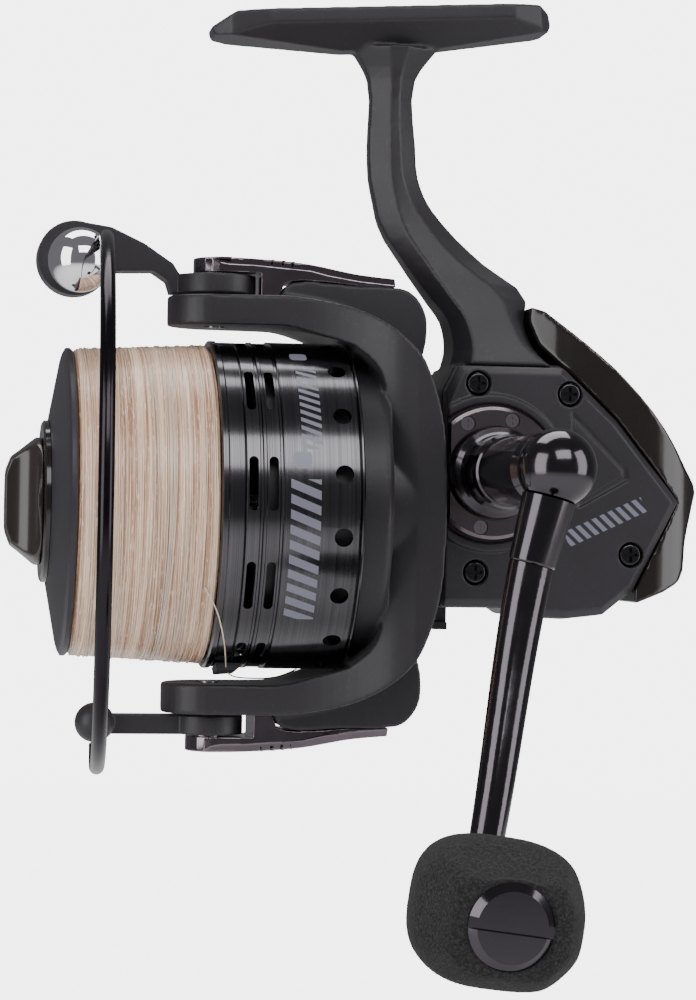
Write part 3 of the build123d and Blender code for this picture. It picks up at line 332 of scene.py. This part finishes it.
def soft_touch(name="soft_touch_black", marks=None):
    """Rubbery black paint: violet tint, soft sheen, fine orange peel and a few paler rubs."""
    f = Finish(name, Sheen_Weight=0.06, Sheen_Roughness=0.45, Specular_IOR_Level=0.42)
    cloud = f.noise(70.0, 4.0)
    rub = f.noise(f_scale(0.9), 5.0).step(0.56, 0.74)
    tone = f.blend(cloud, shade_of(0.88, 0.76, 0.96), shade_of(1.18, 1.02, 1.30))
    tone = f.blend(rub * 0.35, tone, shade_of(2.0, 1.8, 2.2))
    if marks:
        tone = f.blend(marks(f), tone, PRINT_GREY)
    f.feed("Base Color", tone)
    f.feed("Roughness", 0.38 + 0.12 * cloud - 0.06 * rub)
    peel = f.noise(f_scale(0.28), 2.0) + 0.35 * f.noise(f_scale(0.09), 1.0)
    f.bump(peel, 0.000011)
    return f


def turned_black():
    """Gloss black anodised aluminium, turned: fine grooves round the spool axis and worn bands."""
    f = Finish("anodised_turned_black", Coat_Weight=0.25, Coat_Roughness=0.08)
    fine = f.noise(1.0, 2.0, vector=f.stretched(9000.0, 8.0, 8.0))
    broad = f.noise(1.0, 2.0, vector=f.stretched(1600.0, 6.0, 6.0))
    smear = f.noise(120.0, 4.0)
    metal = f.blend((fine * 0.6 + broad * 0.4).step(0.3, 0.72), (0.060, 0.057, 0.063), (0.125, 0.120, 0.131))
    printed = skirt_marks(f)
    f.feed("Base Color", f.blend(printed, metal, PRINT_GREY))
    f.feed("Metallic", 1.0 - printed)
    f.feed("Roughness", 0.09 + 0.12 * fine + 0.05 * smear + 0.2 * printed)
    f.bump(fine + 0.6 * broad, 0.0000035)
    return f


def satin_front():
    """Satin black spool front, fine circles that catch the light."""
    f = Finish("spool_front_satin", Metallic=0.35, Specular_IOR_Level=0.5)
    circles = f.node("CombineXYZ", {}, [f.radius() * 7000.0, f.x * 3000.0, 0.0])
    fine = f.noise(1.0, 2.0, vector=circles)
    cloud = f.noise(90.0, 4.0)
    f.feed("Base Color", f.blend(cloud, (0.030, 0.028, 0.033), (0.046, 0.043, 0.051)))
    f.feed("Roughness", 0.34 + 0.10 * fine + 0.05 * cloud)
    f.bump(fine, 0.000003)
    return f


def polished(name, tint, rough, ripple=0.000004, coat=0.0):
    """Polished plating: a tinted mirror with a faint ripple, fingerprints and specks."""
    f = Finish(name, Metallic=1.0, Coat_Weight=coat, Coat_Roughness=0.04)
    haze = f.noise(180.0, 5.0)
    speck = f.noise(f_scale(0.6), 3.0).step(0.66, 0.75)
    paler = tuple(min(1.0, c * 1.22) for c in tint)
    f.feed("Base Color", f.blend(haze, tint, paler))
    f.feed("Roughness", rough + 0.05 * haze.step(0.45, 0.7) + 0.10 * speck)
    f.bump(f.noise(420.0, 2.0), ripple)
    return f


def gloss_moulding(name, tint, rough=0.10):
    """Glossy moulded plastic: dark tint under a clear coat, faint sink waves and dust."""
    f = Finish(name, Coat_Weight=0.30, Coat_Roughness=0.13, Specular_IOR_Level=0.4)
    cloud = f.noise(60.0, 3.0)
    dust = f.noise(f_scale(0.5), 4.0).step(0.68, 0.80)
    f.feed("Base Color", f.blend(cloud, tint, tuple(c * 1.5 for c in tint)))
    f.feed("Roughness", rough + 0.05 * cloud + 0.08 * dust)
    f.bump(f.noise(120.0, 2.0), 0.000012)
    return f


def brushed_metal(name, tint, rough=0.28):
    """Machined metal: tool marks as fine streaks across X."""
    f = Finish(name, Metallic=1.0)
    fine = f.noise(1.0, 2.0, vector=f.stretched(5000.0, 300.0, 5000.0))
    f.feed("Base Color", f.blend(fine, tuple(c * 0.8 for c in tint), tint))
    f.feed("Roughness", rough + 0.12 * fine)
    f.bump(fine, 0.000003)
    return f


def ground_ring():
    """Gunmetal ring: fine circles round the handle axis, warm tint."""
    f = Finish("ground_gunmetal", Metallic=1.0)
    along, up = f.x - (HANDLE_X - SEAT[0]) * MM, f.z - (HANDLE_Z - SEAT[2]) * MM
    radius = (along * along + up * up).math("SQRT")
    fine = f.noise(1.0, 2.0, vector=f.node("CombineXYZ", {}, [radius * 8000.0, 0.0, 0.0]))
    f.feed("Base Color", f.blend(fine, (0.15, 0.125, 0.135), (0.27, 0.225, 0.24)))
    f.feed("Roughness", 0.16 + 0.12 * fine)
    f.bump(fine, 0.000003)
    return f


def eva_foam():
    """Closed-cell foam: fine pits and crumbs, the pits painted darker as shade, almost no gloss, a dusty
    sheen.
    """
    f = Finish("eva_foam_black", Specular_IOR_Level=0.25, Sheen_Weight=0.03, Sheen_Roughness=0.6)
    cells = f.node("TexVoronoi", {"feature": "F1"}, {"Vector": f.place, "Scale": f_scale(0.42)})
    crumbs = f.noise(f_scale(0.55), 4.0, 0.7)
    pits = (1.0 - cells.step(0.1, 0.65)) * crumbs.step(0.42, 0.62)
    # Pale crumbs are a random speckle, dimmed inside the sunken pits: painted shade in the pits.
    crumbs_and_pit_shade = crumbs.step(0.36, 0.68) * (1.0 - 0.7 * pits)
    f.feed("Base Color", f.blend(crumbs_and_pit_shade, (0.006, 0.006, 0.0065), (0.034, 0.033, 0.035)))
    f.feed("Roughness", 0.78 + 0.15 * crumbs)
    f.bump(crumbs - 0.8 * pits, 0.00012, 0.8)
    return f


def wound_nylon():
    """Clear tan monofilament in layers: pale painted highlights on the raised strands and painted glints,
    over browner strands below that are partly painted shade in the hollows.
    """
    f = Finish("wound_nylon", Specular_IOR_Level=0.6, Coat_Weight=0.25, Coat_Roughness=0.12,
               Subsurface_Weight=0.15, Subsurface_Scale=0.0006)
    f.shader.inputs["Subsurface Radius"].default_value = (1.0, 0.7, 0.5)
    strand = f.noise(1.0, 3.0, 0.6, vector=f.stretched(4200.0, 26.0, 26.0))
    band = f.noise(1.0, 3.0, vector=f.stretched(620.0, 12.0, 12.0))
    # Small pale streaks along the strands, painted on as glints; the same noise also raises the bump.
    painted_glint = f.noise(1.0, 2.0, 0.6, vector=f.stretched(5200.0, 420.0, 420.0))
    # Raised strands pale and low ones brown, from the noise that also lifts the bump: painted highlight on
    # the tops and painted shade in the hollows, over the line's own tan variation.
    depth = (0.6 * strand + 0.4 * band).step(0.40, 0.61)
    tone = f.blend(depth, (0.40, 0.20, 0.115), (0.96, 0.70, 0.51))
    # Painted glints: near-white colour laid over the strand tone.
    f.feed("Base Color", f.blend(painted_glint.step(0.56, 0.70) * 0.75, tone, (0.97, 0.86, 0.74)))
    f.feed("Roughness", 0.20 + 0.25 * strand)
    f.bump(strand + 0.5 * painted_glint, 0.00009, 0.9)
    return f


def clear_nylon():
    """One loose strand: pale clear nylon with small milky lengths."""
    f = Finish("clear_nylon", Specular_IOR_Level=0.7, Coat_Weight=0.4, Coat_Roughness=0.05)
    milk = f.noise(160.0, 3.0)
    f.feed("Base Color", f.blend(milk, (0.52, 0.38, 0.28), (0.90, 0.78, 0.66)))
    f.feed("Roughness", 0.14 + 0.15 * milk)
    return f


def woven_felt():
    """Carbon drag cloth: a small square weave."""
    f = Finish("drag_felt", Specular_IOR_Level=0.3)
    weave = f.node("TexChecker", {}, {"Vector": f.place, "Scale": f_scale(1.0)}, 1)
    f.feed("Base Color", f.blend(weave, (0.03, 0.03, 0.03), (0.08, 0.08, 0.08)))
    f.feed("Roughness", 0.7 + 0.1 * weave)
    return f


FINISHES = {
    "matte_black": soft_touch(),
    "gloss_trim": gloss_moulding("trim_brown_black", (0.012, 0.009, 0.0085)),
    "ground_metal": ground_ring(),
    "gunmetal": polished("gunmetal_cover", (0.17, 0.14, 0.16), 0.11, coat=0.3),
    "black_chrome": polished("black_chrome", (0.062, 0.056, 0.064), 0.13, coat=0.2),
    "chrome": polished("mirror_chrome", (0.78, 0.77, 0.80), 0.02, ripple=0.000002),
    "anodised_black": turned_black(),
    "aluminium": brushed_metal("machined_aluminium", (0.56, 0.56, 0.58)),
    "steel": brushed_metal("ground_steel", (0.50, 0.50, 0.53), 0.2),
    "screw_black": polished("screw_black_oxide", (0.055, 0.052, 0.058), 0.22),
    "brass": brushed_metal("machined_brass", (0.62, 0.46, 0.20), 0.22),
    "foam": eva_foam(),
    "bush_nylon": gloss_moulding("bush_nylon", (0.10, 0.10, 0.10), 0.35),
    "felt": woven_felt(),
    "line": wound_nylon(),
}

# ---------------------------------------------------------------- camera
TARGET = Vector((-0.005, 0.0, -0.1052))
DISTANCE = 0.584
AZIMUTH, ELEVATION, ROLL = np.radians([-9.5, -0.6, 1.0])


def place_camera():
    """Long lens on the handle's side, turned a little to the spool's front and rolled one degree."""
    level = np.cos(ELEVATION)
    back = Vector((np.sin(AZIMUTH) * level, -np.cos(AZIMUTH) * level, np.sin(ELEVATION)))
    right = Vector((np.cos(AZIMUTH), np.sin(AZIMUTH), 0.0))
    up = back.cross(right)
    turned_right = right * np.cos(ROLL) + up * np.sin(ROLL)
    turned_up = up * np.cos(ROLL) - right * np.sin(ROLL)
    camera = bpy.data.objects.new("camera", bpy.data.cameras.new("camera"))
    bpy.context.scene.collection.objects.link(camera)
    camera.data.sensor_width = 36.0
    camera.data.lens = 97.8
    camera.data.clip_start, camera.data.clip_end = 0.02, 30.0
    turn = Matrix((turned_right, turned_up, back)).transposed().to_4x4()
    camera.matrix_world = Matrix.Translation(TARGET + back * DISTANCE) @ turn
    bpy.context.scene.camera = camera


place_camera()

# ---------------------------------------------------------------- loose end of line
# place along X, angle round the skirt with 0 on the -Y side and -90 below, radius
TAIL_ROUTE = np.array([
    (-34.0, -30, 34.05), (-31.6, -36, 35.2), (-29.9, -45, 35.35), (-28.6, -55, 35.35), (-27.6, -66, 35.4),
    (-26.8, -77, 36.0), (-24.6, -85, 36.7), (-20.8, -89, 36.95), (-16.8, -91, 37.0), (-12.9, -96, 36.75),
    (-9.4, -103, 36.3),
])
TAIL_LENGTH, TAIL_DIAMETER = 0.0551, 0.0003


def loose_tail():
    """The line's free end, a NURBS curve through its route's control points."""
    x, angle, radius = TAIL_ROUTE.T
    turn = np.radians(angle)
    route = metres(np.stack([x, -radius * np.cos(turn), radius * np.sin(turn)], axis=1))
    curve = bpy.data.curves.new("loose_line_end", "CURVE")
    curve.dimensions = "3D"
    curve.bevel_depth = TAIL_DIAMETER / 2
    curve.bevel_resolution = 3
    curve.resolution_u = 16
    curve.use_fill_caps = True
    spline = curve.splines.new("NURBS")
    spline.points.add(len(route) - 1)
    spline.points.foreach_set("co", np.column_stack([route, np.ones(len(route))]).ravel())
    spline.order_u = 3
    spline.use_endpoint_u = True
    piece = dress(bpy.data.objects.new("loose_line_end", curve), clear_nylon(), "spool")
    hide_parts("line_tail")


loose_tail()

# ---------------------------------------------------------------- wound line
LINE_FRONT, LINE_REAR = -59.9, -31.3
FRONT_R, REAR_R, ARBOR_R = 32.4, 33.9, 26.9
STRAND = 0.42                         # width of a visible turn
LIFTS = 97                            # different heights that the turns take in order


def winding_radius(x):
    """Height of the winding: a straight taper, rolled off over 1 mm at both ends."""
    t = (x - LINE_FRONT) / (LINE_REAR - LINE_FRONT)
    ends = np.minimum(x - LINE_FRONT, LINE_REAR - x)
    return FRONT_R + (REAR_R - FRONT_R) * t - 0.7 * (1 - smoothstep(0.0, 1.0, ends)) - 0.25


def wound_line():
    """Closed drum: radius = winding height + ridges |cos| along a slow helix + each turn's own lift."""
    along, around = 276, 176
    x = np.linspace(LINE_FRONT + 0.02, LINE_REAR - 0.02, along)
    angle = np.linspace(0, 2 * np.pi, around, endpoint=False)
    x, angle = np.meshgrid(x, angle, indexing="ij")
    wander = 0.35 * np.sin(angle + 0.6 * x) + 0.2 * np.sin(3 * angle + 1.3 * x)
    phase = (x + wander) / STRAND + angle / (2 * np.pi)
    turn = np.floor(phase).astype(int) % LIFTS
    height = RNG.random(LIFTS)[turn]
    lift = height * (0.6 + 0.4 * np.sin(2 * angle + RNG.random(LIFTS)[turn] * 6))
    ridge = 0.16 * np.abs(np.cos(np.pi * (phase - 0.5)))
    radius = winding_radius(x) + ridge + 0.14 * lift
    radius[[0, -1]] = ARBOR_R
    points = np.stack([x, -radius * np.cos(angle), radius * np.sin(angle)], axis=-1).reshape(-1, 3)
    faces = grid_faces(along, around, wrap_rows=True, wrap_columns=True)
    piece = new_piece("wound_line", metres(points), faces[:, ::-1], FINISHES["line"], "spool")
    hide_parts("line_winding")


def stray_turns():
    """Single turns lying over the drum at a slant: x = start + drift t + a sin(t), on the surface."""
    count, stations = 34, 110
    start = RNG.uniform(LINE_FRONT + 1.5, LINE_REAR - 1.8, count)[:, None]
    first = RNG.uniform(0, 2 * np.pi, count)[:, None]
    sweep = RNG.uniform(2.0, 6.0, count)[:, None] * np.linspace(0, 1, stations)
    drift = RNG.normal(0, 0.55, count)[:, None] * sweep
    x = start + drift + 0.25 * np.sin(2 * sweep + first)
    x = np.clip(x, LINE_FRONT + 0.7, LINE_REAR - 0.7)
    ends = np.minimum(smoothstep(0, 0.05, sweep / sweep.max()), 1)
    radius = winding_radius(x) + 0.20 + 0.14 * RNG.random(count)[:, None] * ends
    angle = first + sweep
    paths = np.stack([x, -radius * np.cos(angle), radius * np.sin(angle)], axis=-1)
    points, faces = tubes(paths, 0.12, 5)
    new_piece("stray_turns", metres(points), faces, clear_nylon(), "spool")


wound_line()
stray_turns()

# ---------------------------------------------------------------- foam grip
GRIP_X, GRIP_Z = HANDLE_X - 17.2, HANDLE_Z - 80.4   # spindle axis
GRIP_BACK, GRIP_FRONT = -91.5, -118.0
GRIP_W, GRIP_H, GRIP_TILT = 15.3, 13.0, np.radians(8.0)
BUSH_BORE, CAP_BORE, CAP_DEPTH = 4.65, 7.4, 3.6
EDGE = 0.35                           # softness of a facet's edge
BACK_RINGS, FRONT_RINGS = 3, 14       # rings across the back face and the front face
# each pressed facet: direction round the spindle, lean towards the front, distance of its plane
FACETS = [
    (92, 0.50, 13.2), (178, 0.42, 15.1), (318, 0.42, 15.9),
    (228, 0.42, 15.8), (30, 0.42, 15.9), (272, 0.42, 14.0),
]


def foam_grip():
    """Closed sleeve of squared ovals: r = (|cos a / W|^n + |sin a / H|^n)^(-1/n), n = 2.9.

    W and H follow (1 - |(t - 0.52) / 0.593|^2.6)^(1 / 2.6) along the spindle and the centre
    rises towards the back. Each facet is a plane whose excess e is pressed in by
    E log(1 + exp(e / E)), with E the softness of its edge. Random pits roughen the skin.
    """
    rows, around = 150, 300
    t = np.concatenate([np.zeros(BACK_RINGS), np.linspace(0, 1, rows), np.ones(FRONT_RINGS)])
    share = (1 - np.abs((t - 0.52) / 0.593) ** 2.6) ** (1 / 2.6)
    angle = np.linspace(0, 2 * np.pi, around, endpoint=False)
    cos, sin = np.cos(angle), np.sin(angle)
    oval = (np.abs(cos / GRIP_W) ** 2.9 + np.abs(sin / GRIP_H) ** 2.9) ** (-1 / 2.9)
    radius = share[:, None] * oval[None]
    inner = np.linspace(0, 1, FRONT_RINGS + 1)[1:, None]
    radius[-FRONT_RINGS:] = radius[-FRONT_RINGS - 1] * (1 - inner) + CAP_BORE * inner
    outer = 0.4 * np.arange(BACK_RINGS)[:, None]
    radius[:BACK_RINGS] = BUSH_BORE + (radius[BACK_RINGS] - BUSH_BORE) * outer
    along = GRIP_BACK + (GRIP_FRONT - GRIP_BACK) * t[:, None] + 0 * angle
    along[-FRONT_RINGS:] -= 0.5 * np.sin(np.pi * inner)
    rise = np.interp(t, [0, 0.24, 0.5, 0.88, 1], [1.1, 1.2, 0.9, 0.2, 0.0])[:, None]
    rise[-FRONT_RINGS:] *= 1 - inner
    x, z = radius * cos, radius * sin + rise
    pressable = smoothstep(CAP_BORE + 0.3, CAP_BORE + 2.5, radius)
    for turn, slope, reach in FACETS:
        right, up = np.cos(np.radians(turn)), np.sin(np.radians(turn))
        ahead = (GRIP_FRONT + GRIP_BACK) / 2 - along
        excess = np.cos(slope) * (right * x + up * z) + np.sin(slope) * ahead - reach
        pressed = pressable * EDGE * np.log1p(np.exp(np.clip(excess / EDGE, -30, 30)))
        x = x - pressed * np.cos(slope) * right
        z = z - pressed * np.cos(slope) * up
        along = along + pressed * np.sin(slope)
    pits = 0.022 * RNG.normal(size=x.shape) * smoothstep(CAP_BORE + 0.2, CAP_BORE + 1.0, radius)
    x, z = x + pits * cos, z + pits * sin
    bore = np.array([CAP_BORE, BUSH_BORE, BUSH_BORE])
    depth = np.array([GRIP_FRONT + CAP_DEPTH, GRIP_FRONT + CAP_DEPTH, GRIP_BACK])
    x = np.vstack([x, bore[:, None] * cos])
    z = np.vstack([z, bore[:, None] * sin])
    along = np.vstack([along, depth[:, None] + 0 * angle])
    turned_x = x * np.cos(GRIP_TILT) + z * np.sin(GRIP_TILT)
    turned_z = z * np.cos(GRIP_TILT) - x * np.sin(GRIP_TILT)
    points = np.stack([GRIP_X + turned_x, along, GRIP_Z + turned_z], axis=-1).reshape(-1, 3)
    faces = grid_faces(len(x), around, wrap_rows=True, wrap_columns=True)
    piece = new_piece("foam_grip", metres(points), faces, FINISHES["foam"], "hand_grip")
    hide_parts("grip")


foam_grip()

# ---------------------------------------------------------------- softened castings and mouldings
# each node: size of the remesh in mm, rounds of smoothing, share of faces kept, body
SOFTENED = [
    ("body_frame", 0.40, 4, 0.30, "body"),
    ("side_cover", 0.28, 3, 0.30, "body"),
    ("rear_trim", 0.30, 16, 1.0, "body"),
    ("rotor_yoke", 0.40, 8, 0.30, "rotor"),
    ("arm_cover_upper", 0.16, 3, 0.40, "rotor"),
    ("arm_cover_lower", 0.16, 3, 0.40, "rotor"),
    ("bail_lever_upper", 0.20, 5, 0.40, "bail"),
    ("bail_lever_lower", 0.20, 5, 0.40, "bail"),
    ("drag_knob", 0.20, 26, 1.0, "drag"),
]
slot_of = {row["node"]: row["material_slot"] for row in frame["record"]["subparts"]}
KNOB_GLOSS = gloss_moulding("knob_brown_black", (0.020, 0.015, 0.014), 0.20)
OWN_FINISH = {"side_cover": soft_touch("soft_touch_printed", marks=cover_marks), "drag_knob": KNOB_GLOSS}
for node, voxel, rounds, share, body in SOFTENED:
    slot = slot_of[node]
    softened(node, voxel, rounds, share, OWN_FINISH.get(node, FINISHES[slot]), body)

# ---------------------------------------------------------------- carried-over nodes
PLATED_SCREW = polished("plated_screw", (0.42, 0.38, 0.41), 0.12)
WIRE_BLACK = polished("bail_wire_black", (0.026, 0.023, 0.027), 0.18)
SPECIAL = {"spool_front": satin_front(), "bail_wire": WIRE_BLACK}
SPECIAL.update({f"plate_screw_{k}": PLATED_SCREW for k in range(1, 5)})
for name, node in NODES.items():
    finish = SPECIAL.get(name, FINISHES[slot_of[name]])
    for k in range(len(node.data.materials)):
        node.data.materials[k] = finish.material

# ---------------------------------------------------------------- floor, background and light
FLOOR_Z, FLOOR_R = -0.245, 1.6


def floor():
    """Pale round floor under the reel that fades out, so that no horizon shows."""
    rings, spokes = 40, 96
    radius = np.linspace(0.0, FLOOR_R, rings)[:, None]
    angle = np.linspace(0, 2 * np.pi, spokes, endpoint=False)
    height = np.full((rings, spokes), FLOOR_Z)
    points = np.stack([radius * np.cos(angle), radius * np.sin(angle), height], axis=-1).reshape(-1, 3)
    mesh = bpy.data.meshes.new("floor")
    mesh.from_pydata(points.tolist(), [], grid_faces(rings, spokes, wrap_columns=True).tolist())
    piece = bpy.data.objects.new("floor", mesh)
    bpy.context.scene.collection.objects.link(piece)
    f = Finish("pale_floor", Roughness=0.9, Specular_IOR_Level=0.1)
    f.shader.inputs["Base Color"].default_value = (0.88, 0.88, 0.88, 1.0)
    reach = (f.x * f.x + f.y * f.y).math("SQRT")
    f.shader.inputs["Emission Color"].default_value = (1.0, 1.0, 1.0, 1.0)
    seen = Tap(f, f.tree.nodes.new("ShaderNodeLightPath").outputs["Is Camera Ray"])
    f.feed("Emission Strength", seen * 3.9)
    f.feed("Alpha", 1.0 - reach.step(0.25, 0.9))
    mesh.materials.append(f.material)


def softbox(name, place, aim, size, power):
    """Rectangular soft light, seen only in reflections."""
    light = bpy.data.lights.new(name, "AREA")
    light.shape = "RECTANGLE"
    light.size, light.size_y = size
    light.energy = power
    lamp = bpy.data.objects.new(name, light)
    bpy.context.scene.collection.objects.link(lamp)
    lamp.location = place
    direction = Vector(aim) - Vector(place)
    lamp.rotation_euler = direction.to_track_quat("-Z", "Y").to_euler()
    lamp.visible_camera = False


WHITE, DIM = 5.0, 0.18                # background as seen, and as reflected


def studio():
    """White for the camera, dim grey with soft gradients for everything that reflects it."""
    world = bpy.data.worlds.new("studio")
    bpy.context.scene.world = world
    world.use_nodes = True
    nodes, links = world.node_tree.nodes, world.node_tree.links
    nodes.clear()
    out = nodes.new("ShaderNodeOutputWorld")
    mix = nodes.new("ShaderNodeMixShader")
    seen, around = nodes.new("ShaderNodeBackground"), nodes.new("ShaderNodeBackground")
    seen.inputs["Color"].default_value = (1.0, 1.0, 1.0, 1.0)
    seen.inputs["Strength"].default_value = WHITE
    around.inputs["Color"].default_value = (0.96, 0.95, 1.0, 1.0)
    around.inputs["Strength"].default_value = DIM
    path = nodes.new("ShaderNodeLightPath")
    links.new(path.outputs["Is Camera Ray"], mix.inputs[0])
    links.new(around.outputs[0], mix.inputs[1])
    links.new(seen.outputs[0], mix.inputs[2])
    links.new(mix.outputs[0], out.inputs["Surface"])
    centre = (0.0, 0.0, -0.10)
    softbox("left_box", (-0.75, -0.45, 0.05), centre, (0.55, 0.9), 6.0)
    softbox("right_box", (0.80, -0.45, 0.10), centre, (0.5, 0.9), 5.0)
    softbox("top_box", (-0.05, 0.22, 0.75), centre, (0.9, 0.5), 7.0)
    softbox("front_box", (0.12, -0.88, 0.55), centre, (0.75, 0.46), 4.9)


floor()
studio()
